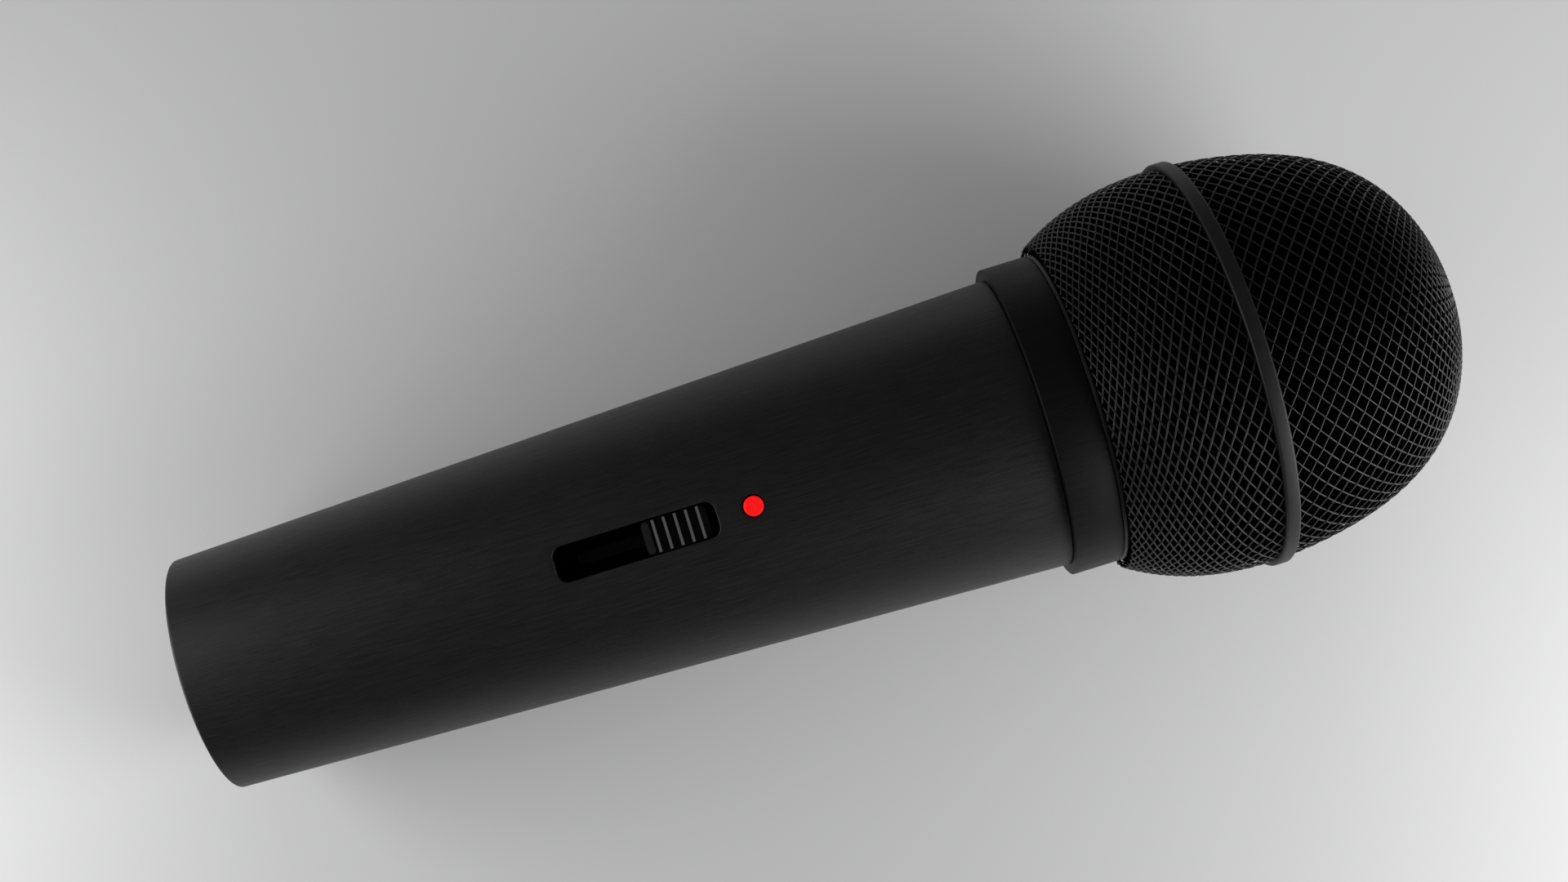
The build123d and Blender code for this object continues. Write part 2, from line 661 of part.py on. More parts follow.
with BuildPart() as magnet:
    with BuildSketch(across(MOTOR_START + YOKE_FLOOR_T + 0.05)):
        Circle(MAGNET_R)
    extrude(amount=MAGNET_T)
magnet.part.label = "magnet"
export_step(magnet.part, "parts/magnet.step")

with BuildPart() as pole_piece:
    with BuildSketch(across(MOTOR_START + YOKE_FLOOR_T + MAGNET_T + 0.1)):
        Circle(POLE_R)
    extrude(amount=POLE_T)
pole_piece.part.label = "pole_piece"
export_step(pole_piece.part, "parts/pole_piece.step")

COIL_INNER_R = 8.4
COIL_OUTER_R = 8.7
COIL_START = MOTOR_START + 6.2
COIL_END = COIL_START + 4.0
with BuildPart() as voice_coil:
    with BuildSketch(across(COIL_START)):
        Circle(COIL_OUTER_R)
        Circle(COIL_INNER_R, mode=Mode.SUBTRACT)
    extrude(amount=COIL_END - COIL_START)
voice_coil.part.label = "voice_coil"
export_step(voice_coil.part, "parts/voice_coil.step")

DOME_RISE = 2.4
FILM_T = 0.2
dome_foot = COIL_END + 0.02
dome_sphere_r = (COIL_OUTER_R**2 + DOME_RISE**2) / (2 * DOME_RISE)
dome_half_rise = sqrt(dome_sphere_r**2 - (COIL_OUTER_R / 2) ** 2) - dome_sphere_r + DOME_RISE
with BuildPart() as diaphragm_dome:
    with BuildSketch(SIDE):
        with BuildLine():
            ThreePointArc(
                (dome_foot, COIL_OUTER_R),
                (dome_foot + dome_half_rise, COIL_OUTER_R / 2),
                (dome_foot + DOME_RISE, 0),
            )
            Line((dome_foot + DOME_RISE, 0), (dome_foot + DOME_RISE + FILM_T, 0))
            ThreePointArc(
                (dome_foot + DOME_RISE + FILM_T, 0),
                (dome_foot + dome_half_rise + FILM_T, COIL_OUTER_R / 2),
                (dome_foot + FILM_T, COIL_OUTER_R),
            )
            Line((dome_foot + FILM_T, COIL_OUTER_R), (dome_foot, COIL_OUTER_R))
        make_face()
    revolve(axis=MIC_AXIS)
diaphragm_dome.part.label = "diaphragm_dome"
export_step(diaphragm_dome.part, "parts/diaphragm_dome.step")

SURROUND_INNER_R = COIL_OUTER_R + 0.35
SURROUND_OUTER_R = CAPSULE_R - 1.2
SURROUND_RISE = 0.9
surround_seat = SHELF + 0.05
surround_middle = (SURROUND_INNER_R + SURROUND_OUTER_R) / 2
with BuildPart() as diaphragm_surround:
    with BuildSketch(SIDE):
        with BuildLine():
            ThreePointArc(
                (surround_seat, SURROUND_INNER_R),
                (surround_seat + SURROUND_RISE, surround_middle),
                (surround_seat, SURROUND_OUTER_R),
            )
            Line((surround_seat, SURROUND_OUTER_R), (surround_seat + FILM_T, SURROUND_OUTER_R))
            ThreePointArc(
                (surround_seat + FILM_T, SURROUND_OUTER_R),
                (surround_seat + SURROUND_RISE + FILM_T, surround_middle),
                (surround_seat + FILM_T, SURROUND_INNER_R),
            )
            Line((surround_seat + FILM_T, SURROUND_INNER_R), (surround_seat, SURROUND_INNER_R))
        make_face()
    revolve(axis=MIC_AXIS)
diaphragm_surround.part.label = "diaphragm_surround"
export_step(diaphragm_surround.part, "parts/diaphragm_surround.step")

CLOTH_T = 0.3
CAP_T = 1.4
CAP_SLOT_COUNT = 12
CAP_SLOT_CIRCLE = 9.2
CAP_SLOT_LENGTH = 4.6
CAP_SLOT_WIDTH = 1.6
CAP_HOLE_CIRCLE = 4.2
CAP_HOLE_R = 1.1
with BuildPart() as acoustic_cloth:
    with BuildSketch(across(CAPSULE_FRONT - 1.1)):
        Circle(CAPSULE_R - 1.2)
    extrude(amount=CLOTH_T)
acoustic_cloth.part.label = "acoustic_cloth"
export_step(acoustic_cloth.part, "parts/acoustic_cloth.step")

with BuildPart() as capsule_cap:
    with BuildSketch(across(CAPSULE_FRONT + 0.05)):
        Circle(CAPSULE_R)
        with PolarLocations(CAP_SLOT_CIRCLE, CAP_SLOT_COUNT):
            SlotOverall(CAP_SLOT_LENGTH, CAP_SLOT_WIDTH, mode=Mode.SUBTRACT)
        with PolarLocations(CAP_HOLE_CIRCLE, CAP_SLOT_COUNT // 2):
            Circle(CAP_HOLE_R, mode=Mode.SUBTRACT)
        Circle(CAP_HOLE_R, mode=Mode.SUBTRACT)
    extrude(amount=CAP_T)
    with BuildSketch(across(CAPSULE_FRONT + 0.05)):
        Circle(CAPSULE_R - 1.2)
        Circle(CAPSULE_R - 2.0, mode=Mode.SUBTRACT)
    extrude(amount=-0.7)
capsule_cap.part.label = "capsule_cap"
export_step(capsule_cap.part, "parts/capsule_cap.step")

CUP_START = 94.5
CUP_WALL = 0.9
RESONATOR_R = CAPSULE_STEM_R - 0.4
with BuildPart() as resonator_cup:
    revolve(
        outline(
            (CUP_START, 0),
            (CUP_START, RESONATOR_R),
            (NECK_BORE_START - 0.05, RESONATOR_R),
            (NECK_BORE_START - 0.05, RESONATOR_R - CUP_WALL),
            (CUP_START + CUP_WALL, RESONATOR_R - CUP_WALL),
            (CUP_START + CUP_WALL, 0),
        ),
        axis=MIC_AXIS,
    )
resonator_cup.part.label = "resonator_cup"
export_step(resonator_cup.part, "parts/resonator_cup.step")

LUG_SIDE = 3.0
LUG_HEIGHT = 5.0
LUG_LENGTH = 2.5
LUG_WIDTH = 2.0
LUG_T = 0.4
with BuildPart() as capsule_terminals:
    with BuildSketch(across(CUP_START - 0.02)):
        with Locations((-LUG_SIDE, LUG_HEIGHT), (LUG_SIDE, LUG_HEIGHT)):
            Rectangle(LUG_WIDTH, LUG_T)
    extrude(amount=-LUG_LENGTH)
capsule_terminals.part.label = "capsule_terminals"
export_step(capsule_terminals.part, "parts/capsule_terminals.step")


# ---------------------------------------------------------------- wires inside the handle
def bend_radii(points):
    """One radius for each corner: 0.45 of its shorter run, divided by the tangent of half its turn."""
    radii = []
    for before, corner, after in zip(points, points[1:], points[2:]):
        run_in = corner - before
        run_out = after - corner
        half_turn = radians(run_in.get_angle(run_out)) / 2
        radii.append(0.45 * min(run_in.length, run_out.length) / tan(half_turn))
    return radii


wire_height = BOARD_TOP + WIRE_R + 0.05
wire_routes = {}
for name, side in (("capsule_wire_a", -LUG_SIDE), ("capsule_wire_b", LUG_SIDE)):
    wire_routes[name] = [
        place(BOARD_END - 2.0, side, wire_height),
        place(BOARD_END + 1.5, side, wire_height),
        place(BOARD_END + 4.5, side, LUG_HEIGHT + WIRE_R + 0.25),
        place(CUP_START - 0.6, side, LUG_HEIGHT + WIRE_R + 0.25),
    ]
for number, (sideways, height) in enumerate(CONTACT_SPOTS, start=1):
    wire_routes[f"output_wire_{number}"] = [
        place(BOARD_START + 2.2, sideways, wire_height),
        place(BOARD_START - 2.0, sideways, wire_height),
        place(CONTACT_END + 5.5, sideways, height),
        place(CONTACT_END - CUP_DEPTH + 0.1, sideways, height),
    ]

for name, route in wire_routes.items():
    radii = bend_radii(route)
    print(name, "bend radii", [round(radius, 1) for radius in radii])
    with BuildPart() as wire:
        with BuildLine() as path:
            FilletPolyline(*route, radius=radii)
        with BuildSketch(Plane(origin=path.line @ 0, z_dir=path.line % 0)):
            Circle(WIRE_R)
        sweep()
    wire.part.label = name
    export_step(wire.part, f"parts/{name}.step")

# ---------------------------------------------------------------- head: collar, grille, foam
COLLAR_END = HANDLE_LENGTH + COLLAR_LENGTH
SPIGOT_R = 19.2
SPIGOT_END = COLLAR_END + 2.6
THREAD_SEAT_R = 18.3
THREAD_RING_START = HANDLE_LENGTH + 1.1
THREAD_RING_LENGTH = 5.0
SKIRT_R = NECK_R + 0.4  # bore of the collar's rear lip, over the neck

with BuildPart() as thread_ring:
    with BuildSketch(across(THREAD_RING_START)):
        Circle(THREAD_SEAT_R - RUNNING_GAP)
        Circle(NECK_R + RUNNING_GAP, mode=Mode.SUBTRACT)
    extrude(amount=THREAD_RING_LENGTH)
thread_ring.part.label = "thread_ring"
export_step(thread_ring.part, "parts/thread_ring.step")

with BuildPart() as collar:
    revolve(
        outline(
            (HANDLE_LENGTH + 0.05, SKIRT_R),
            (HANDLE_LENGTH + 0.05, COLLAR_R - 0.35),
            (HANDLE_LENGTH + 0.4, COLLAR_R),
            (COLLAR_END, COLLAR_R),
            (COLLAR_END, SPIGOT_R),
            (SPIGOT_END, SPIGOT_R),
            (SPIGOT_END, THREAD_SEAT_R),
            (THREAD_RING_START - 0.05, THREAD_SEAT_R),
            (THREAD_RING_START - 0.05, SKIRT_R),
        ),
        axis=MIC_AXIS,
    )
collar.part.label = "collar"
export_step(collar.part, "parts/collar.step")

RIM_START = COLLAR_END + 0.25
band_end = BAND_START + BAND_WIDTH
rim_angle = grille_angle(RIM_START + 0.2)
rear_outer = grille_curve(grille_angle(BAND_START - 0.02), rim_angle)
rear_inner = grille_curve(
    grille_angle(BAND_START - 0.02, MESH_T),
    grille_angle(RIM_START + 1.0, MESH_T),
    MESH_T,
)
with BuildPart() as grille_rear:
    with BuildSketch(SIDE):
        with BuildLine():
            Spline(*rear_outer)
            Polyline(
                rear_outer[-1],
                (RIM_START, COLLAR_R + 0.1),
                (RIM_START, SPIGOT_R + 0.05),
                (RIM_START + MESH_T, SPIGOT_R + 0.05),
                rear_inner[-1],
            )
            Spline(*rear_inner)
            Line(rear_inner[0], rear_outer[0])
        make_face()
    revolve(axis=MIC_AXIS)
grille_rear.part.label = "grille_rear"
export_step(grille_rear.part, "parts/grille_rear.step")

front_outer = grille_curve(0, grille_angle(band_end + 0.02))
front_inner = grille_curve(0, grille_angle(band_end + 0.02, MESH_T), MESH_T)
with BuildPart() as grille_front:
    revolve(skin_outline(front_outer, front_inner), axis=MIC_AXIS)
grille_front.part.label = "grille_front"
export_step(grille_front.part, "parts/grille_front.step")

BAND_FLANGE = 2.0
FLANGE_T = 0.4
flange_edges = (BAND_START - BAND_FLANGE, band_end + BAND_FLANGE)
mesh_inner_r = min(grille_point(grille_angle(edge, MESH_T), MESH_T)[1] for edge in flange_edges)
flange_r = mesh_inner_r - 0.1
with BuildPart() as grille_band:
    revolve(
        outline(
            (BAND_START, flange_r - 0.2),
            (BAND_START, BAND_R - EDGE_R),
            (BAND_START + EDGE_R, BAND_R),
            (band_end - EDGE_R, BAND_R),
            (band_end, BAND_R - EDGE_R),
            (band_end, flange_r - 0.2),
        ),
        axis=MIC_AXIS,
    )
    revolve(
        outline(
            (flange_edges[0], flange_r - FLANGE_T),
            (flange_edges[0], flange_r),
            (flange_edges[1], flange_r),
            (flange_edges[1], flange_r - FLANGE_T),
        ),
        axis=MIC_AXIS,
    )
grille_band.part.label = "grille_band"
export_step(grille_band.part, "parts/grille_band.step")

FOAM_END = 118.3
foam_outer = grille_curve(0, grille_angle(FOAM_END, FOAM_GAP), FOAM_GAP)
foam_inner = grille_curve(0, grille_angle(FOAM_END, FOAM_GAP + FOAM_T), FOAM_GAP + FOAM_T)
GROOVE_GAP = 0.1  # foam to the band's flange
groove_r = flange_r - FLANGE_T - GROOVE_GAP
with BuildPart() as foam_windscreen:
    revolve(skin_outline(foam_outer, foam_inner), axis=MIC_AXIS)
    revolve(
        outline(
            (flange_edges[0] - GROOVE_GAP, groove_r),
            (flange_edges[0] - GROOVE_GAP, BAND_R),
            (flange_edges[1] + GROOVE_GAP, BAND_R),
            (flange_edges[1] + GROOVE_GAP, groove_r),
        ),
        axis=MIC_AXIS,
        mode=Mode.SUBTRACT,
    )
foam_windscreen.part.label = "foam_windscreen"
export_step(foam_windscreen.part, "parts/foam_windscreen.step")
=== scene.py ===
"""Visual model of a handheld dynamic microphone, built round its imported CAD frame.

Lengths in the helpers are millimetres in the microphone's own terms: station along the axis from the
tail's face, sideways distance (+Y) and height above the axis. place() turns them into the row frame.
"""

import json
import math

import bmesh
import bpy
from mathutils import Matrix, Vector, noise
from mathutils.geometry import delaunay_2d_cdt


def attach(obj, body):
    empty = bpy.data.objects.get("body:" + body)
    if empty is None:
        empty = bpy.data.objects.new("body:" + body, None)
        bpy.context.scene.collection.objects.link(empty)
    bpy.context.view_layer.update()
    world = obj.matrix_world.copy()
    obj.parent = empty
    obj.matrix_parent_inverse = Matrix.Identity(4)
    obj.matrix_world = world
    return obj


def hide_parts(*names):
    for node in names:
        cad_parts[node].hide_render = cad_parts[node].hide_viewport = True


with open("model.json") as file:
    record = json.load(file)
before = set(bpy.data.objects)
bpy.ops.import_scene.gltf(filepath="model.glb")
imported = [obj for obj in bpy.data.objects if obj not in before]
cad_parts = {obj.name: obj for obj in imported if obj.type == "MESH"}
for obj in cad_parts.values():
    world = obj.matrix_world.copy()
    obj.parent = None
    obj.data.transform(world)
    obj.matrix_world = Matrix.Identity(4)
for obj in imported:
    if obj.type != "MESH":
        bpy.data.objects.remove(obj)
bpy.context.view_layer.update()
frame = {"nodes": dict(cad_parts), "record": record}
nodes = frame["nodes"]

# ---------------------------------------------------------------- sizes of the CAD model, mm
MM = 0.001
EDGE_R = 0.3
FIT_GAP = 0.05  # between pieces that touch in the real microphone
TAIL_R = 15.1
SHOULDER_R = 19.05
HANDLE_LENGTH = 109.1
HANDLE_WALL = 2.4
NECK_R = 16.6
NECK_END = 115.6
NECK_BORE_R = 14.6
NECK_BORE_START = 104.0
CAVITY_FRONT = 101.5
TAIL_BORE_R = 12.5
TAIL_BORE_LENGTH = 25.0
THREAD_PITCH = 1.0
THREAD_DEPTH = 0.4
COLLAR_R = 20.45
COLLAR_END = 115.3
COLLAR_BORE_R = NECK_R + 0.4
SPIGOT_R = 19.2
SPIGOT_END = 117.9
THREAD_SEAT_R = 18.3
THREAD_RING_START = 110.2
BAND_R = 26.96
BAND_INNER_R = 25.95
BAND_START = 133.8
BAND_END = 135.65
RIM_START = 115.55
GRILLE_CENTRE = 141.64
GRILLE_WAVES = (28.49, -6.247, 2.546, -0.674, -0.314)  # reach of the egg outline: cosine terms
SLOT_MIDDLE = 57.775
SLOT_LENGTH = 20.55
SLOT_WIDTH = 4.5
SLOT_CORNER_R = 1.3
LIGHT_STATION = 72.6
LIGHT_HOLE_R = 1.45
CLAMP_STATION = 19.0
CLAMP_HOLE_R = 1.3
SEGMENTS = 192

# The microphone lies on its tail's rim and its band, which tilts the axis.
TAIL = Vector((-81.79673, 0.0, 15.01571))
TILT = math.atan2(BAND_R - TAIL_R, BAND_START)
AXIS_DIR = Vector((math.cos(TILT), 0.0, math.sin(TILT)))
SIDE_DIR = Vector((0.0, 1.0, 0.0))
UP_DIR = Vector((-math.sin(TILT), 0.0, math.cos(TILT)))


def place(station, sideways=0.0, height=0.0):
    """Point of the row frame, in metres."""
    return (TAIL + AXIS_DIR * station + SIDE_DIR * sideways + UP_DIR * height) * MM


def around(station, radius, angle):
    """Point on a circle round the axis; angle 0 is on top and a quarter turn is +Y."""
    return place(station, radius * math.sin(angle), radius * math.cos(angle))


def grille_point(angle, inset=0.0):
    """Station and radius of the grille's egg outline, at an angle from its tip."""
    reach = sum(wave * math.cos(n * angle) for n, wave in enumerate(GRILLE_WAVES)) - inset
    return GRILLE_CENTRE + reach * math.cos(angle), reach * math.sin(angle)


def grille_angle(station, inset=0.0):
    """Angle at which the outline passes a station, by halving."""
    low, high = 0.0, math.pi
    for _ in range(40):
        middle = (low + high) / 2
        if grille_point(middle, inset)[0] > station:
            low = middle
        else:
            high = middle
    return low


def handle_radius(station):
    """Outside radius of the handle's taper."""
    return TAIL_R + (SHOULDER_R - TAIL_R) * station / HANDLE_LENGTH


# ---------------------------------------------------------------- camera, floor and light
CAMERA_STATION = 72.841
CAMERA_HEIGHT = 280.12
CAMERA_AXES = (  # right, up and back, each along the axis, sideways and up
    (0.95569, -0.29410, 0.01308),
    (0.29362, 0.95546, 0.02961),
    (-0.02121, -0.02445, 0.99948),
)


def set_camera():
    """The photograph's camera: almost straight above the handle, with the head to the upper right."""
    data = bpy.data.cameras.new("camera")
    data.lens = 50
    data.sensor_width = 36
    data.clip_start = 0.01
    data.clip_end = 20
    camera = bpy.data.objects.new("camera", data)
    columns = [AXIS_DIR * a + SIDE_DIR * b + UP_DIR * c for a, b, c in CAMERA_AXES]
    turn = Matrix(columns).transposed()
    camera.matrix_world = Matrix.Translation(place(CAMERA_STATION, 0, CAMERA_HEIGHT)) @ turn.to_4x4()
    bpy.context.scene.collection.objects.link(camera)
    bpy.context.scene.camera = camera


def add_area(name, position, target, width, height, power):
    """A rectangular light turned to its target, in metres and watts."""
    data = bpy.data.lights.new(name, "AREA")
    data.shape = "RECTANGLE"
    data.size = width
    data.size_y = height
    data.energy = power
    lamp = bpy.data.objects.new(name, data)
    lamp.location = position
    lamp.rotation_euler = (Vector(target) - Vector(position)).to_track_quat("-Z", "Y").to_euler()
    bpy.context.scene.collection.objects.link(lamp)
    return lamp


set_camera()
bpy.context.scene.view_settings.view_transform = "Standard"
add_area(
    "key_light",
    position=(0.185, -0.13, 0.125), target=(-0.228, 0.3, 0.0), width=0.2, height=0.2, power=0.62,
)
add_area(
    "left_light",
    position=(-0.215, 0.006, 0.075), target=(0.144, -0.176, 0.0), width=0.2, height=0.12, power=0.34,
)
back_light = add_area(
    "back_light",
    position=(0.06, 0.30, 0.16), target=(0.02, 0.04, 0.0), width=0.3, height=0.16, power=0.24,
)
back_light.visible_glossy = False

world = bpy.data.worlds.new("world")
bpy.context.scene.world = world
world.use_nodes = True
sky = world.node_tree.nodes["Background"]
sky.inputs["Color"].default_value = (1, 1, 1, 1)
sky.inputs["Strength"].default_value = 0.1


# ---------------------------------------------------------------- materials
MIDDLE_NOISE = (0.3, 0.7)  # most of a noise texture's values lie between these
HIGHLIGHT_HEIGHT = 17.3  # mm over the axis, above which the slider's ridge tops get a painted highlight
HIGHLIGHT_BLEND = 0.08  # mm over which the painted highlight comes in


def node(tree, kind, **values):
    """A shader node with its properties and named inputs set."""
    made = tree.nodes.new(kind)
    for key, value in values.items():
        socket = key.replace("_", " ")
        if socket in made.inputs:
            made.inputs[socket].default_value = value
        else:
            setattr(made, key, value)
    return made


def axis_coordinates(tree, stretch=(1.0, 1.0, 1.0)):
    """Object coordinates turned to the microphone's axis, in mm, and stretched."""
    source = tree.nodes.new("ShaderNodeTexCoord")
    levelled = node(tree, "ShaderNodeMapping", vector_type="POINT")
    levelled.inputs["Rotation"].default_value = (0.0, TILT, 0.0)
    scaled = node(tree, "ShaderNodeMapping", vector_type="POINT")
    scaled.inputs["Scale"].default_value = [share / MM for share in stretch]
    tree.links.new(source.outputs["Object"], levelled.inputs["Vector"])
    tree.links.new(levelled.outputs["Vector"], scaled.inputs["Vector"])
    return scaled.outputs["Vector"]


def noise_value(tree, vector, scale, detail=4.0, rough=0.6):
    made = node(tree, "ShaderNodeTexNoise", Scale=scale, Detail=detail, Roughness=rough)
    tree.links.new(vector, made.inputs["Vector"])
    return made.outputs["Fac"]


def spread(tree, value, low, high, out_low, out_high):
    """value from low..high to out_low..out_high, clamped."""
    limits = {"From Min": low, "From Max": high, "To Min": out_low, "To Max": out_high}
    made = node(tree, "ShaderNodeMapRange")
    for socket, number in limits.items():
        made.inputs[socket].default_value = number
    tree.links.new(value, made.inputs["Value"])
    return made.outputs["Result"]


def finish_material(
    name,
    dark,
    light,
    roughness,
    metallic=0.0,
    grain=1.0,
    stretch=(1.0, 1.0, 1.0),
    bump=0.1,
    bump_mm=0.02,
    specular=0.5,
    coat=0.0,
    blotch=0.25,
    emission=None,
    painted_highlight=None,
):
    """A material whose colour varies by a fine grain and a slow blotch, its roughness and bump by the grain.

    emission is (red, green, blue, strength). The highlight pair (height, colour) gives a colour painted as a
    highlight onto whatever stands above that height over the axis.
    """
    made = bpy.data.materials.new(name)
    made.use_nodes = True
    tree = made.node_tree
    shader = tree.nodes["Principled BSDF"]
    vector = axis_coordinates(tree, stretch)
    plain = axis_coordinates(tree)
    fine = noise_value(tree, vector, grain, 5.0, 0.65)
    slow = noise_value(tree, plain, blotch, 3.0, 0.5)
    both = node(tree, "ShaderNodeMath", operation="MULTIPLY")
    tree.links.new(spread(tree, fine, *MIDDLE_NOISE, 0.6, 1.0), both.inputs[0])
    tree.links.new(spread(tree, slow, *MIDDLE_NOISE, 0.75, 1.0), both.inputs[1])
    mix = node(tree, "ShaderNodeMix", data_type="RGBA")
    mix.inputs["A"].default_value = (*dark, 1)
    mix.inputs["B"].default_value = (*light, 1)
    tree.links.new(spread(tree, both.outputs[0], 0.45, 1.0, 0.0, 1.0), mix.inputs["Factor"])
    colour = mix.outputs["Result"]
    # painted highlight: a pale colour mixed in above a height, for the light on the slider's ridge tops
    if painted_highlight:
        apart = node(tree, "ShaderNodeSeparateXYZ")
        tree.links.new(plain, apart.inputs["Vector"])
        height, highlight_colour = painted_highlight
        level = height + TAIL.dot(UP_DIR)
        share = spread(tree, apart.outputs["Z"], level - HIGHLIGHT_BLEND, level, 0.0, 1.0)
        highlight_mix = node(tree, "ShaderNodeMix", data_type="RGBA")
        highlight_mix.inputs["B"].default_value = (*highlight_colour, 1)
        tree.links.new(share, highlight_mix.inputs["Factor"])
        tree.links.new(colour, highlight_mix.inputs["A"])
        colour = highlight_mix.outputs["Result"]
    tree.links.new(colour, shader.inputs["Base Color"])
    tree.links.new(spread(tree, fine, *MIDDLE_NOISE, *roughness), shader.inputs["Roughness"])
    bumper = node(tree, "ShaderNodeBump", Strength=bump, Distance=bump_mm * MM)
    tree.links.new(fine, bumper.inputs["Height"])
    tree.links.new(bumper.outputs["Normal"], shader.inputs["Normal"])
    shader.inputs["Metallic"].default_value = metallic
    shader.inputs["Specular IOR Level"].default_value = specular
    shader.inputs["Coat Weight"].default_value = coat
    if emission:
        shader.inputs["Emission Color"].default_value = (*emission[:3], 1)
        shader.inputs["Emission Strength"].default_value = emission[3]
    return made


ALONG = (0.04, 1.0, 1.0)  # stretches the grain along the axis
LOOKS = {
    "handle_enamel": dict(
        dark=(0.0028, 0.0028, 0.0029), light=(0.0078, 0.0078, 0.0079), roughness=(0.4, 0.54),
        grain=4.5, stretch=ALONG, bump=0.7, bump_mm=0.045, specular=0.42,
    ),
    # the handle's enamel with its colour about halved: painted shade where the head shades the collar
    "collar_enamel_painted_shade": dict(
        dark=(0.0015, 0.0015, 0.0015), light=(0.0032, 0.0032, 0.0033), roughness=(0.4, 0.54),
        grain=4.5, stretch=ALONG, bump=0.6, bump_mm=0.04, specular=0.2,
    ),
    "band_enamel": dict(
        dark=(0.006, 0.006, 0.0061), light=(0.01, 0.01, 0.0102), roughness=(0.44, 0.54), grain=3.0,
        bump=0.2, specular=0.3,
    ),
    "grille_wire": dict(
        dark=(0.008, 0.008, 0.0082), light=(0.014, 0.014, 0.0143), roughness=(0.32, 0.42),
        grain=2.0, bump=0.2, specular=0.32,
    ),
    "connector_metal": dict(
        dark=(0.02, 0.02, 0.02), light=(0.035, 0.035, 0.036), roughness=(0.3, 0.45), metallic=0.6,
        grain=4.0,
    ),
    "insulator_plastic": dict(
        dark=(0.012, 0.012, 0.013), light=(0.02, 0.02, 0.021), roughness=(0.55, 0.7), grain=6.0,
    ),
    "contact_plating": dict(
        dark=(0.62, 0.5, 0.27), light=(0.78, 0.66, 0.4), roughness=(0.18, 0.34), metallic=1.0,
        grain=3.0, stretch=ALONG,
    ),
    "contact_brass": dict(
        dark=(0.52, 0.4, 0.18), light=(0.66, 0.54, 0.28), roughness=(0.22, 0.4), metallic=1.0,
        grain=4.0,
    ),
    "screw_steel": dict(
        dark=(0.1, 0.1, 0.105), light=(0.2, 0.2, 0.21), roughness=(0.3, 0.5), metallic=1.0,
        grain=5.0,
    ),
    "board_laminate": dict(
        dark=(0.01, 0.08, 0.03), light=(0.02, 0.14, 0.06), roughness=(0.35, 0.5), grain=2.5,
        coat=0.3,
    ),
    "resistor_body": dict(
        dark=(0.4, 0.28, 0.16), light=(0.58, 0.44, 0.28), roughness=(0.35, 0.5), grain=4.0,
        coat=0.3,
    ),
    "light_red": dict(
        dark=(0.45, 0.004, 0.005), light=(0.7, 0.01, 0.012), roughness=(0.45, 0.6), grain=3.0,
        bump=0.05, specular=0.1, emission=(1.0, 0.008, 0.009, 0.62),
    ),
    # near black and without specular: painted shade in the slot's recess round the slider
    "switch_plastic": dict(
        dark=(0.0004, 0.0004, 0.0004), light=(0.0008, 0.0008, 0.0008), roughness=(0.7, 0.85),
        grain=6.0, specular=0.0,
    ),
    # the slider's pale ridge tops are a painted highlight, not wear
    "slider_plastic": dict(
        dark=(0.005, 0.005, 0.005), light=(0.011, 0.011, 0.011), roughness=(0.5, 0.65), grain=7.0,
        specular=0.25, painted_highlight=(HIGHLIGHT_HEIGHT, (0.11, 0.11, 0.11)),
    ),
    "switch_steel": dict(
        dark=(0.4, 0.4, 0.41), light=(0.55, 0.55, 0.56), roughness=(0.25, 0.4), metallic=1.0,
        grain=4.0, stretch=ALONG,
    ),
    "mount_rubber": dict(
        dark=(0.014, 0.014, 0.014), light=(0.026, 0.026, 0.026), roughness=(0.7, 0.85), grain=5.0,
    ),
    "capsule_plastic": dict(
        dark=(0.02, 0.02, 0.021), light=(0.034, 0.034, 0.035), roughness=(0.5, 0.65), grain=6.0,
    ),
    "yoke_steel": dict(
        dark=(0.42, 0.42, 0.44), light=(0.58, 0.58, 0.6), roughness=(0.28, 0.42), metallic=1.0,
        grain=4.0,
    ),
    "magnet_plating": dict(
        dark=(0.5, 0.5, 0.52), light=(0.66, 0.66, 0.68), roughness=(0.12, 0.25), metallic=1.0,
        grain=3.0,
    ),
    "coil_copper": dict(
        dark=(0.5, 0.2, 0.08), light=(0.74, 0.34, 0.17), roughness=(0.25, 0.4), metallic=1.0,
        grain=12.0, stretch=(6.0, 0.2, 0.2), bump=0.5,
    ),
    "film": dict(
        dark=(0.4, 0.42, 0.4), light=(0.52, 0.54, 0.52), roughness=(0.15, 0.3), grain=1.0, coat=0.4,
    ),
    "cloth": dict(
        dark=(0.012, 0.012, 0.012), light=(0.035, 0.035, 0.035), roughness=(0.8, 0.95), grain=9.0,
        bump=0.6,
    ),
    "wire_red": dict(
        dark=(0.36, 0.02, 0.02), light=(0.5, 0.04, 0.04), roughness=(0.35, 0.5), grain=4.0,
    ),
    "wire_black": dict(
        dark=(0.012, 0.012, 0.012), light=(0.025, 0.025, 0.025), roughness=(0.4, 0.55), grain=4.0,
    ),
    "wire_green": dict(
        dark=(0.02, 0.18, 0.05), light=(0.04, 0.3, 0.1), roughness=(0.35, 0.5), grain=4.0,
    ),
    "foam": dict(
        dark=(0.0003, 0.0003, 0.0003), light=(0.0011, 0.0011, 0.0011), roughness=(0.9, 1.0),
        grain=3.0, bump=0.8, bump_mm=0.2, specular=0.0,
    ),
}
MATERIALS = {name: finish_material(name, **look) for name, look in LOOKS.items()}

slot_of = {part["node"]: part["material_slot"] for part in frame["record"]["subparts"]}
for name, cad in nodes.items():
    cad.data.materials.clear()
    cad.data.materials.append(MATERIALS[slot_of[name]])


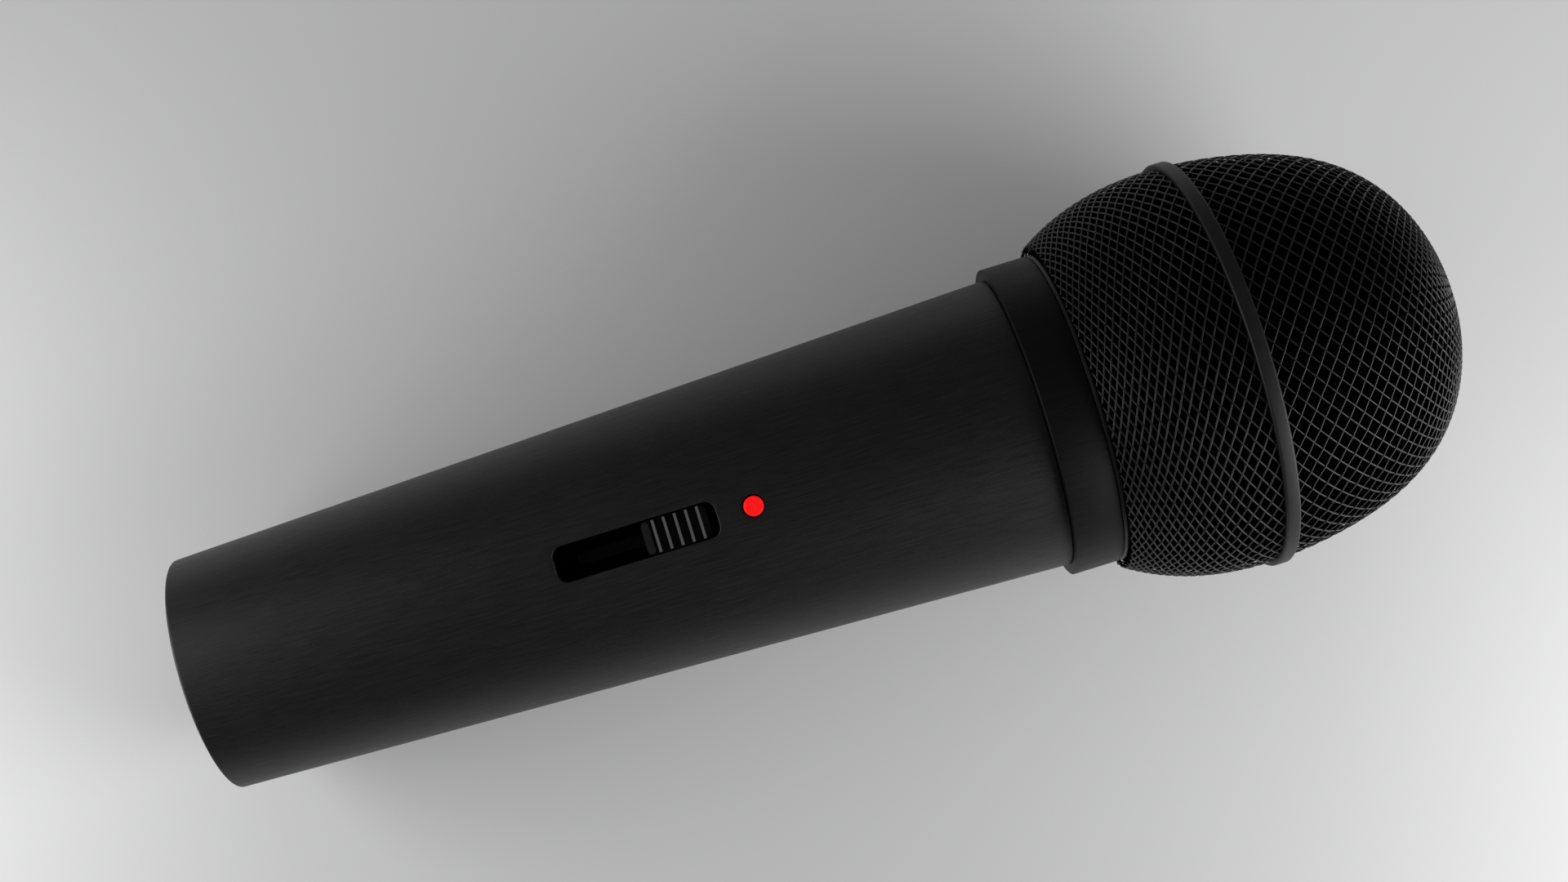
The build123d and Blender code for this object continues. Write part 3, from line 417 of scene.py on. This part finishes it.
# ---------------------------------------------------------------- mesh building
class Skin:
    """Collects vertices and faces for one piece."""

    def __init__(self):
        self.points = []
        self.faces = []

    def add(self, point):
        self.points.append(point)
        return len(self.points) - 1

    def ring(self, station, radius, count=SEGMENTS):
        """A circle of vertices. radius may be a function of the angle."""
        row = []
        for n in range(count):
            angle = 2 * math.pi * n / count
            reach = radius(angle) if callable(radius) else radius
            row.append(self.add(around(station, reach, angle)))
        return row

    def bridge(self, first, second, skip=()):
        """Quads between two closed rows; skip holds the places left open."""
        count = len(first)
        for n in range(count):
            if n not in skip:
                m = (n + 1) % count
                self.faces.append((first[n], first[m], second[m], second[n]))

    def bridge_all(self, rows):
        """Quads between each closed row and the next."""
        for first, second in zip(rows, rows[1:]):
            self.bridge(first, second)

    def piece(self, name, material, body, stands_for=(), sharp=40.0):
        """Makes the object, smooth except at edges sharper than an angle in degrees."""
        mesh = bpy.data.meshes.new(name)
        mesh.from_pydata(self.points, [], self.faces)
        mesh.validate()
        work = bmesh.new()
        work.from_mesh(mesh)
        bmesh.ops.recalc_face_normals(work, faces=work.faces)
        work.to_mesh(mesh)
        work.free()
        mesh.shade_smooth()
        mesh.set_sharp_from_angle(angle=math.radians(sharp))
        made = bpy.data.objects.new(name, mesh)
        bpy.context.scene.collection.objects.link(made)
        made.data.materials.append(MATERIALS[material])
        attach(made, body)
        if stands_for:
            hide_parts(*stands_for)
        return made


def rounded(corners, radii, steps=5):
    """Closed (station, radius) outline with its corners rounded; a radius of 0 keeps the corner."""
    result = []
    count = len(corners)
    for n in range(count):
        before, here, after = (Vector(corners[(n + k) % count]) for k in (-1, 0, 1))
        if radii[n] == 0:
            result.append(tuple(here))
            continue
        run_in = (before - here).normalized()
        run_out = (after - here).normalized()
        half = run_in.angle(run_out) / 2
        reach = radii[n] / math.tan(half)
        centre = here + (run_in + run_out).normalized() * (radii[n] / math.sin(half))
        start = here + run_in * reach - centre
        end = here + run_out * reach - centre
        turn = start.angle_signed(end)
        for k in range(steps + 1):
            arm = start.copy()
            arm.rotate(Matrix.Rotation(-turn * k / steps, 2))
            result.append(tuple(centre + arm))
    return result


def turned(name, material, body, outline, stands_for=(), count=SEGMENTS):
    """A closed outline turned round the axis."""
    skin = Skin()
    rows = [skin.ring(station, radius, count) for station, radius in outline]
    skin.bridge_all(rows + rows[:1])
    return skin.piece(name, material, body, stands_for)


# ---------------------------------------------------------------- handle
OUTER_STEP = 1.6  # between the rows of the outside wall, about
INNER_STEP = 2.0
WALL_MARGIN = 0.2  # left at each end of the outside wall for its rounded edge
SHOULDER_EDGE_R = 0.1
SLOT_EDGE_R = 0.1
LIGHT_EDGE_R = 0.12
CLAMP_EDGE_R = 0.15
TOP_WINDOW = (43.0, 79.0)  # stations of the walls' rebuilt stretches round the slot and the light
CLAMP_WINDOW = (12.0, 26.0)
CLAMP_BORE_WINDOW = (12.0, 25.0)
WINDOW_HALF = 18  # columns of vertices on each side of a window's middle
HOLE_CLEARANCE = 0.35  # wall vertices nearer to a hole than this are left out
CORNER_STEPS = 8
SIDE_STEPS = 18
HOLE_POINTS = 40
TAIL_CHAMFER = 0.4
NECK_CHAMFER_LENGTH = 0.5
NECK_CHAMFER_DEPTH = 0.7
THREAD_ROWS = 52
THREAD_START = 0.6  # from the shoulder to where the groove begins
THREAD_RUN_OUT = 0.8  # over which it reaches its full depth
THREAD_FLAT = 1.6  # groove depth before clamping: above 1 is the flat bottom
THREAD_FLANK = 3.6
TINY = 1e-6


def slot_outline(offset):
    """Rounded slot seen from above and widened by an offset, as (station, sideways) points."""
    half_l = SLOT_LENGTH / 2 - SLOT_CORNER_R
    half_w = SLOT_WIDTH / 2 - SLOT_CORNER_R
    corner = SLOT_CORNER_R + offset
    points = []
    for quarter, (su, sy) in enumerate(((1, 1), (-1, 1), (-1, -1), (1, -1))):
        for k in range(CORNER_STEPS + 1):
            angle = math.pi / 2 * (quarter + k / CORNER_STEPS)
            station = SLOT_MIDDLE + su * half_l + corner * math.cos(angle)
            points.append((station, sy * half_w + corner * math.sin(angle)))
        if quarter in (0, 2):
            for k in range(1, SIDE_STEPS):
                station = SLOT_MIDDLE + su * half_l * (1 - 2 * k / SIDE_STEPS)
                points.append((station, sy * (half_w + corner)))
        else:
            points.append((SLOT_MIDDLE + su * (half_l + corner), 0.0))
    return points


def round_outline(station, radius):
    """A circular hole seen from above, as a function of its offset."""

    def points(offset):
        reach = radius + offset
        angles = [2 * math.pi * k / HOLE_POINTS for k in range(HOLE_POINTS)]
        return [(station + reach * math.cos(angle), reach * math.sin(angle)) for angle in angles]

    return points


class Wall:
    """One face of the handle's shell: rings of vertices along the axis, with windows for its holes."""

    def __init__(self, skin, start, end, radius_at, step):
        self.skin = skin
        self.radius_at = radius_at
        count = max(1, round(abs(end - start) / step))
        self.stations = [start + (end - start) * n / count for n in range(count + 1)]
        self.rows = [skin.ring(station, radius_at(station)) for station in self.stations]
        self.windows = []

    def open_window(self, first, last, below, loops):
        """Fills the wall between two stations round its holes, on top or on the underside.

        loops are the holes' edges, each a row of (vertex, station, sideways).
        """
        rows = [n for n, s in enumerate(self.stations) if first - TINY <= s <= last + TINY]
        middle = SEGMENTS // 2 if below else 0
        columns = [(middle + n) % SEGMENTS for n in range(-WINDOW_HALF, WINDOW_HALF + 1)]
        flat = []
        owner = []
        edges = []
        holes = []

        def put(vertex, station, angle):
            flat.append(Vector((station, angle * TAIL_R)))
            owner.append(vertex)
            return len(flat) - 1

        for loop in loops:
            marks = []
            for vertex, station, sideways in loop:
                angle = math.asin(sideways / self.radius_at(station))
                marks.append(put(vertex, station, angle))
            edges += [(marks[n], marks[(n + 1) % len(marks)]) for n in range(len(marks))]
            holes.append([flat[m].copy() for m in marks])
        for row in rows:
            for k, column in enumerate(columns):
                angle = 2 * math.pi * (k - WINDOW_HALF) / SEGMENTS
                if below:
                    angle = -angle
                spot = Vector((self.stations[row], angle * TAIL_R))
                on_rim = row in (rows[0], rows[-1]) or k in (0, 2 * WINDOW_HALF)
                if on_rim or all(clear_of(spot, hole) > HOLE_CLEARANCE for hole in holes):
                    put(self.rows[row][column], self.stations[row], angle)
        result = delaunay_2d_cdt(flat, edges, [], 0, 1e-7)
        spots, triangles, sources = result[0], result[2], result[3]
        for triangle in triangles:
            centre = sum((spots[v] for v in triangle), Vector((0, 0))) / 3
            if not any(clear_of(centre, hole) < 0 for hole in holes):
                self.skin.faces.append(tuple(owner[sources[v][0]] for v in triangle))
        self.windows.append((rows[0], rows[-1], set(columns[:-1])))

    def close(self):
        """Fills the wall everywhere outside its windows."""
        for n in range(len(self.rows) - 1):
            skip = set()
            for first, last, columns in self.windows:
                if first <= n < last:
                    skip |= columns
            self.skin.bridge(self.rows[n], self.rows[n + 1], skip)


def clear_of(spot, hole):
    """Distance from a flat point to a closed loop, negative inside it."""
    inside = False
    nearest = 1e9
    for n in range(len(hole)):
        a, b = hole[n - 1], hole[n]
        if (a.y > spot.y) != (b.y > spot.y) and spot.x < a.x + (spot.y - a.y) * (b.x - a.x) / (b.y - a.y):
            inside = not inside
        run = b - a
        share = max(0.0, min(1.0, (spot - a).dot(run) / max(run.length_squared, 1e-12)))
        nearest = min(nearest, (spot - a - run * share).length)
    return -nearest if inside else nearest


def drill(skin, outline, side, outer_r, inner_r, edge_r, steps=4):
    """A hole's wall from the outside in, with a rounded edge outside. Side is 1 on top, -1 below.

    Returns its first and last rows as loops for open_window.
    """

    def loop(offset, radius_at, depth):
        row = []
        for station, sideways in outline(offset):
            height = math.sqrt(radius_at(station) ** 2 - sideways**2) - depth
            row.append((skin.add(place(station, sideways, side * height)), station, sideways))
        return row

    rows = []
    for k in range(steps + 1):
        turn = math.pi / 2 * k / steps
        rows.append(loop(edge_r * (1 - math.sin(turn)), outer_r, edge_r * (1 - math.cos(turn))))
    rows.append(loop(0.0, inner_r, 0.0))
    skin.bridge_all([[vertex for vertex, _, _ in row] for row in rows])
    return rows[0], rows[-1]


def thread_radius(station):
    """Radius of the neck as a function of the angle: a screw thread with a run-out."""
    depth = THREAD_DEPTH * max(0.0, min(1.0, (station - HANDLE_LENGTH - THREAD_START) / THREAD_RUN_OUT))

    def radius(angle):
        turn = (station / THREAD_PITCH - angle / (2 * math.pi)) % 1.0
        groove = max(0.0, min(1.0, THREAD_FLAT - THREAD_FLANK * abs(turn - 0.5)))
        return NECK_R - depth * groove

    return radius


def cavity_radius(station):
    return handle_radius(station) - HANDLE_WALL


def tail_bore_radius(_station):
    return TAIL_BORE_R


def build_handle():
    skin = Skin()
    outer_start, outer_end = EDGE_R + WALL_MARGIN, HANDLE_LENGTH - WALL_MARGIN
    outer = Wall(skin, outer_start, outer_end, handle_radius, OUTER_STEP)
    inner = Wall(skin, CAVITY_FRONT, TAIL_BORE_LENGTH + 1, cavity_radius, INNER_STEP)
    bore = Wall(skin, TAIL_BORE_LENGTH, TAIL_CHAMFER, tail_bore_radius, INNER_STEP)
    light_outline = round_outline(LIGHT_STATION, LIGHT_HOLE_R)
    clamp_outline = round_outline(CLAMP_STATION, CLAMP_HOLE_R)
    slot = drill(skin, slot_outline, 1, handle_radius, cavity_radius, SLOT_EDGE_R)
    light = drill(skin, light_outline, 1, handle_radius, cavity_radius, LIGHT_EDGE_R)
    clamp = drill(skin, clamp_outline, -1, handle_radius, tail_bore_radius, CLAMP_EDGE_R)
    outer.open_window(*TOP_WINDOW, False, [slot[0], light[0]])
    inner.open_window(*TOP_WINDOW, False, [slot[1], light[1]])
    outer.open_window(*CLAMP_WINDOW, True, [clamp[0]])
    bore.open_window(*CLAMP_BORE_WINDOW, True, [clamp[1]])
    for wall in (outer, inner, bore):
        wall.close()

    # over the shoulder, along the threaded neck and back through its bore
    before = HANDLE_LENGTH - 1
    corners = [(before, handle_radius(before)), (HANDLE_LENGTH, SHOULDER_R), (HANDLE_LENGTH, NECK_R)]
    shoulder = rounded(corners, [0, SHOULDER_EDGE_R, 0])[1:-1]
    rows = [outer.rows[-1]]
    rows += [skin.ring(station, radius) for station, radius in shoulder]
    rows.append(skin.ring(HANDLE_LENGTH, NECK_R))
    for n in range(1, THREAD_ROWS + 1):
        station = HANDLE_LENGTH + (NECK_END - NECK_CHAMFER_LENGTH - HANDLE_LENGTH) * n / THREAD_ROWS
        rows.append(skin.ring(station, thread_radius(station)))
    rows.append(skin.ring(NECK_END, NECK_R - NECK_CHAMFER_DEPTH))
    rows.append(skin.ring(NECK_END, NECK_BORE_R))
    rows.append(skin.ring(NECK_BORE_START, NECK_BORE_R))
    rows.append(inner.rows[0])
    skin.bridge_all(rows)
    skin.bridge(inner.rows[-1], bore.rows[0])

    # round the tail's rim into its bore
    after = EDGE_R + 1
    tail_chamfer_r = TAIL_BORE_R + TAIL_CHAMFER
    corners = [(after, handle_radius(after)), (0, TAIL_R), (0, tail_chamfer_r)]
    rim = rounded(corners, [0, EDGE_R, 0], 6)[1:-1]
    rows = [outer.rows[0]] + [skin.ring(station, radius) for station, radius in rim]
    rows += [skin.ring(0, tail_chamfer_r), bore.rows[-1]]
    skin.bridge_all(rows)
    return skin.piece("handle_shell", "handle_enamel", "handle_body", ["handle"])


build_handle()

# ---------------------------------------------------------------- collar and band
collar_corners = [
    (HANDLE_LENGTH + FIT_GAP, COLLAR_BORE_R),
    (HANDLE_LENGTH + FIT_GAP, COLLAR_R),
    (COLLAR_END, COLLAR_R),
    (COLLAR_END, SPIGOT_R),
    (SPIGOT_END, SPIGOT_R),
    (SPIGOT_END, THREAD_SEAT_R),
    (THREAD_RING_START - FIT_GAP, THREAD_SEAT_R),
    (THREAD_RING_START - FIT_GAP, COLLAR_BORE_R),
]
collar_outline = rounded(collar_corners, [0.1, 0.12, 0.12, 0.1, 0.2, 0, 0, 0])
# the collar's darker colour is painted shade from the head
turned("collar_ring", "collar_enamel_painted_shade", "head", collar_outline, ["collar"])

band_corners = [
    (BAND_START, BAND_INNER_R),
    (BAND_START, BAND_R),
    (BAND_END, BAND_R),
    (BAND_END, BAND_INNER_R),
]
band_outline = rounded(band_corners, [0, EDGE_R, EDGE_R, 0])
turned("band_ring", "band_enamel", "head", band_outline, ["grille_band"])

# ---------------------------------------------------------------- wire mesh of the grille
WIRE_R = 0.125
WIRE_SIDES = 6
WEAVE = 0.05  # how far a wire swings out and in as it crosses the others
WIRES = 62  # in each of the two crossing families, counted round the axis
WIRE_START = (-0.031, 0.0065)  # roll of the first wire of each family at the widest ring
TIP_BEARING = math.radians(51.5)  # between a wire and the outline, near the tip and near the rim
RIM_BEARING = math.radians(67.6)
BEND_START = math.radians(84.5)  # the bearing changes between these angles from the tip
BEND_END = math.radians(137.8)
THIN_RINGS = (-42, -58, -74, -90)  # rings of crossings at which every second wire ends
THIN_SHIFT = 6  # of the second family's order, in wires
LAST_RING = -112  # where the wires that are left end, round the tip
BAND_LAP = 0.4  # length of a wire under the band
FRONT_MESH = (BAND_START + BAND_LAP, None)  # stations where the wires end; None is the tip
REAR_MESH = (RIM_START + 0.3, BAND_END - BAND_LAP)
FINE = math.radians(0.25)  # step of the sweep table
MESH_REACH = math.radians(144)  # its end, behind the rim
RIM_GAP = 0.02  # between the collar and the mesh's rim
RIM_END = RIM_START + 0.4


def wire_bearing(angle):
    """Angle between a wire and the grille's outline, eased from the tip's to the rim's."""
    share = max(0.0, min(1.0, (angle - BEND_START) / (BEND_END - BEND_START)))
    return TIP_BEARING + (RIM_BEARING - TIP_BEARING) * share * share * (3 - 2 * share)


def between(rows, value, source, target):
    """Linear interpolation in rows that rise in their source column."""
    low, high = 0, len(rows) - 1
    while high - low > 1:
        middle = (low + high) // 2
        if rows[middle][source] <= value:
            low = middle
        else:
            high = middle
    a, b = rows[low], rows[high]
    share = max(0.0, min(1.0, (value - a[source]) / (b[source] - a[source])))
    return a[target] + (b[target] - a[target]) * share


def sweep_table():
    """Pairs (angle from the tip, roll of a wire), with no roll at the widest ring."""
    table = [(2 * FINE, 0.0)]
    while table[-1][0] < MESH_REACH:
        angle, roll = table[-1]
        (s0, r0), (s1, r1) = (grille_point(at, WIRE_R) for at in (angle, angle + FINE))
        run = math.hypot(s1 - s0, r1 - r0)
        roll += run * math.tan(wire_bearing(angle + FINE / 2)) * 2 / (r0 + r1)
        table.append((angle + FINE, roll))
    widest = between(table, math.pi / 2, 0, 1)
    return [(angle, roll - widest) for angle, roll in table]


SWEEP_ROWS = sweep_table()


def ring_at(station):
    """Number of the ring of crossings at a station, as a fraction."""
    roll = between(SWEEP_ROWS, grille_angle(station, WIRE_R), 0, 1)
    return (roll - (WIRE_START[1] - WIRE_START[0]) / 2) * WIRES / math.pi


def tip_ring(index):
    """Ring at which a wire ends: every second one of those left goes at each thinning ring."""
    for ring in THIN_RINGS:
        if index % 2:
            return ring
        index //= 2
    return LAST_RING


def build_wire(skin, family, index, first, last):
    """One wire of the mesh from ring to ring, over and under the wires it crosses."""
    sign = 1 if family == 0 else -1
    stops = [first] + [k / 2 for k in range(math.floor(2 * first) + 1, math.ceil(2 * last))] + [last]
    spots = []
    for ring in stops:
        roll = ring * math.pi / WIRES + (WIRE_START[1] - WIRE_START[0]) / 2
        angle = between(SWEEP_ROWS, roll, 1, 0)
        station, radius = grille_point(angle, WIRE_R)
        ahead, ahead_r = grille_point(angle + FINE, WIRE_R)
        out = Vector((ahead_r - radius, station - ahead)).normalized()
        lift = sign * WEAVE * math.cos(math.pi * ring)
        turn = math.pi / 2 - (WIRE_START[family] + 2 * math.pi * index / WIRES + sign * roll)
        centre = around(station + out.x * lift, radius + out.y * lift, turn) / MM
        outward = AXIS_DIR * out.x + (SIDE_DIR * math.sin(turn) + UP_DIR * math.cos(turn)) * out.y
        spots.append((centre, outward))
    rows = []
    for n, (centre, outward) in enumerate(spots):
        along = (spots[min(n + 1, len(spots) - 1)][0] - spots[max(n - 1, 0)][0]).normalized()
        across = along.cross(outward).normalized()
        up = across.cross(along)
        row = []
        for side in range(WIRE_SIDES):
            angle = 2 * math.pi * side / WIRE_SIDES
            arm = across * math.cos(angle) + up * math.sin(angle)
            row.append(skin.add((centre + arm * WIRE_R) * MM))
        rows.append(row)
    skin.bridge_all(rows)
    skin.faces.append(tuple(rows[0]))
    skin.faces.append(tuple(rows[-1]))


def build_mesh(name, replaced, rear_end, front_end):
    """Both families of wires between two stations, as one piece."""
    skin = Skin()
    rear_ring = ring_at(rear_end)
    for family in (0, 1):
        for index in range(WIRES):
            order = index if family == 0 else (index - THIN_SHIFT) % WIRES
            first = tip_ring(order) if front_end is None else ring_at(front_end)
            build_wire(skin, family, index, first, rear_ring)
    return skin.piece(name, "grille_wire", "head", [replaced], sharp=180)


build_mesh("mesh_front", "grille_front", *FRONT_MESH)
build_mesh("mesh_rear", "grille_rear", *REAR_MESH)
rim_corners = [
    (COLLAR_END + RIM_GAP, SPIGOT_R + FIT_GAP),
    (COLLAR_END + RIM_GAP, COLLAR_R - 0.08),
    (RIM_END, COLLAR_R + 0.1),
    (RIM_END, SPIGOT_R + FIT_GAP),
]
turned("mesh_rim", "grille_wire", "head", rounded(rim_corners, [0, 0.2, 0.2, 0]))


# ---------------------------------------------------------------- foam inside the grille
FOAM_SKIRT_START = 116.6
FOAM_SKIRT_R = SPIGOT_R + 0.15
FOAM_HOLLOW_START = 118.4
FOAM_OUTER_INSET = 0.75  # from the grille's outline to the foam's outside
FOAM_INNER_INSET = 5.8
FOAM_SEGMENTS = 144
FOAM_STEPS = 72
PORE_SCALE = 900.0  # noise cells in a metre


def foam_ring(skin, station, radius):
    """A ring of the foam's outside, made uneven by a coarse and a fine noise."""

    def lumpy(turn):
        spot = around(station, radius, turn) * PORE_SCALE
        return radius + 0.12 * noise.noise(spot) + 0.08 * noise.noise(spot * 2.3)

    return skin.ring(station, lumpy, FOAM_SEGMENTS)


def build_foam():
    """A hollow lining close behind the wires, from the tip back to a skirt round the spigot."""
    skin = Skin()
    outer_last = grille_angle(FOAM_SKIRT_START, FOAM_OUTER_INSET)
    inner_last = grille_angle(FOAM_HOLLOW_START, FOAM_INNER_INSET)
    inner_steps = FOAM_STEPS // 3
    rows = []
    for n in range(1, FOAM_STEPS + 1):
        rows.append(foam_ring(skin, *grille_point(outer_last * n / FOAM_STEPS, FOAM_OUTER_INSET)))
    rows.append(skin.ring(FOAM_SKIRT_START, FOAM_SKIRT_R, FOAM_SEGMENTS))
    rows.append(skin.ring(FOAM_HOLLOW_START, FOAM_SKIRT_R, FOAM_SEGMENTS))
    for n in range(inner_steps, 0, -1):
        rows.append(skin.ring(*grille_point(inner_last * n / inner_steps, FOAM_INNER_INSET), FOAM_SEGMENTS))
    skin.bridge_all(rows)
    for row, inset in ((rows[0], FOAM_OUTER_INSET), (rows[-1], FOAM_INNER_INSET)):
        tip = skin.add(place(grille_point(0.0, inset)[0]))
        for n in range(FOAM_SEGMENTS):
            skin.faces.append((row[n], row[(n + 1) % FOAM_SEGMENTS], tip))
    foam = skin.piece("foam_liner", "foam", "head", ["foam_windscreen"], sharp=180)


build_foam()

# ---------------------------------------------------------------- floor
FLOOR_HALF = 4.0  # metres
floor_corners = [(x * FLOOR_HALF, y * FLOOR_HALF, 0) for x, y in ((-1, -1), (1, -1), (1, 1), (-1, 1))]
floor_mesh = bpy.data.meshes.new("floor")
floor_mesh.from_pydata(floor_corners, [], [(0, 1, 2, 3)])
floor = bpy.data.objects.new("floor", floor_mesh)
bpy.context.scene.collection.objects.link(floor)
floor_paint = bpy.data.materials.new("floor_paint")
floor_paint.use_nodes = True
floor_shader = floor_paint.node_tree.nodes["Principled BSDF"]
floor_shader.inputs["Base Color"].default_value = (0.75, 0.75, 0.755, 1)
floor_shader.inputs["Roughness"].default_value = 0.9
floor.data.materials.append(floor_paint)
